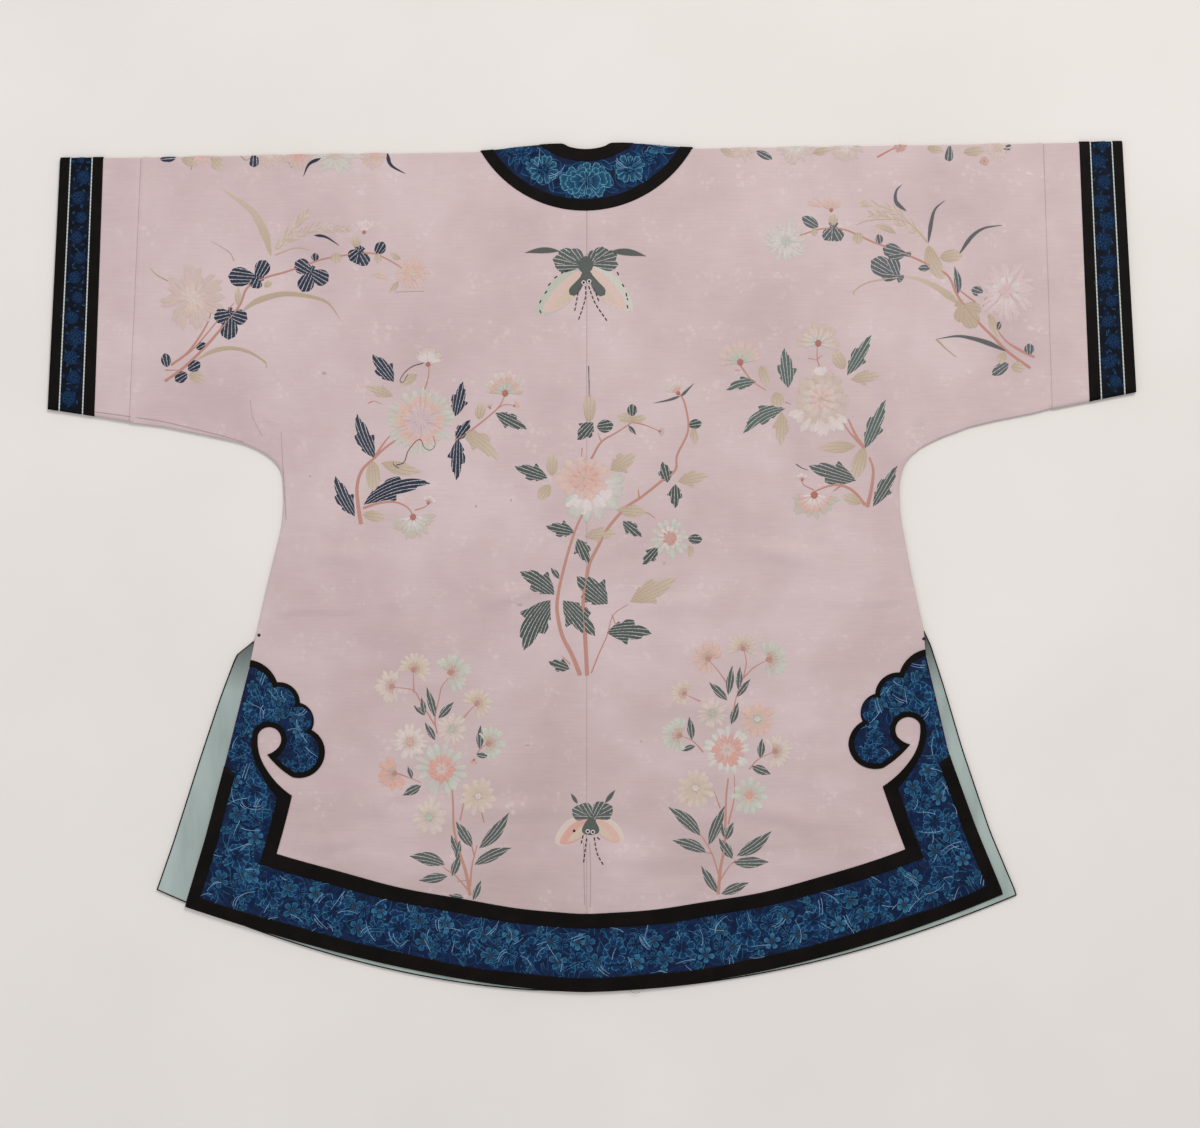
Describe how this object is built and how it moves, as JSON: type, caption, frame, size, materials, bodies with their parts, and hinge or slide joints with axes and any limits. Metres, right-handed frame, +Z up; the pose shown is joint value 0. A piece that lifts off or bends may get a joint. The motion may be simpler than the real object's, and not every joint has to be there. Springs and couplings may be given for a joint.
{
  "type": "chinese silk jacket laid flat",
  "caption": "Wide-sleeved lined silk jacket laid flat with its back up, with embroidered ribbon borders, cloud heads at the side slits, banded cuffs and a round neck band.",
  "frame": {"origin": "middle of the bounding box at the underside, where the jacket rests", "axes": "+X along the sleeves to the right as the back is seen, +Y towards the neck, +Z up out of the surface it lies on"},
  "size_m": [1.3064, 1.0214, 0.0083],
  "materials": {
    "silk": "pale lilac-pink silk damask, softly lustrous",
    "black_satin": "black satin, cut on the bias and stitched flat",
    "ribbon": "dark blue woven ribbon with teal flowers",
    "piping": "off-white silk piping",
    "lining": "plain grey-green silk lining"
  },
  "bodies": {
    "root": {"body_left": "silk", "body_right": "silk", "sleeve_left": "silk", "sleeve_right": "silk", "cuff_left_outer_black": "black_satin", "cuff_left_outer_piping": "piping", "cuff_left_ribbon": "ribbon", "cuff_left_inner_piping": "piping", "cuff_left_inner_black": "black_satin", "cuff_right_outer_black": "black_satin", "cuff_right_outer_piping": "piping", "cuff_right_ribbon": "ribbon", "cuff_right_inner_piping": "piping", "cuff_right_inner_black": "black_satin", "neck_binding": "black_satin", "neck_ribbon": "ribbon", "neck_border": "black_satin", "back_border_outer": "black_satin", "back_border_ribbon": "ribbon", "back_border_inner": "black_satin", "front_border_outer_left": "black_satin", "front_border_ribbon_left": "ribbon", "front_border_inner_left": "black_satin", "front_border_outer_right": "black_satin", "front_border_ribbon_right": "ribbon", "front_border_inner_right": "black_satin", "lining_front_left": "lining", "lining_front_right": "lining"}
  },
  "joints": []
}
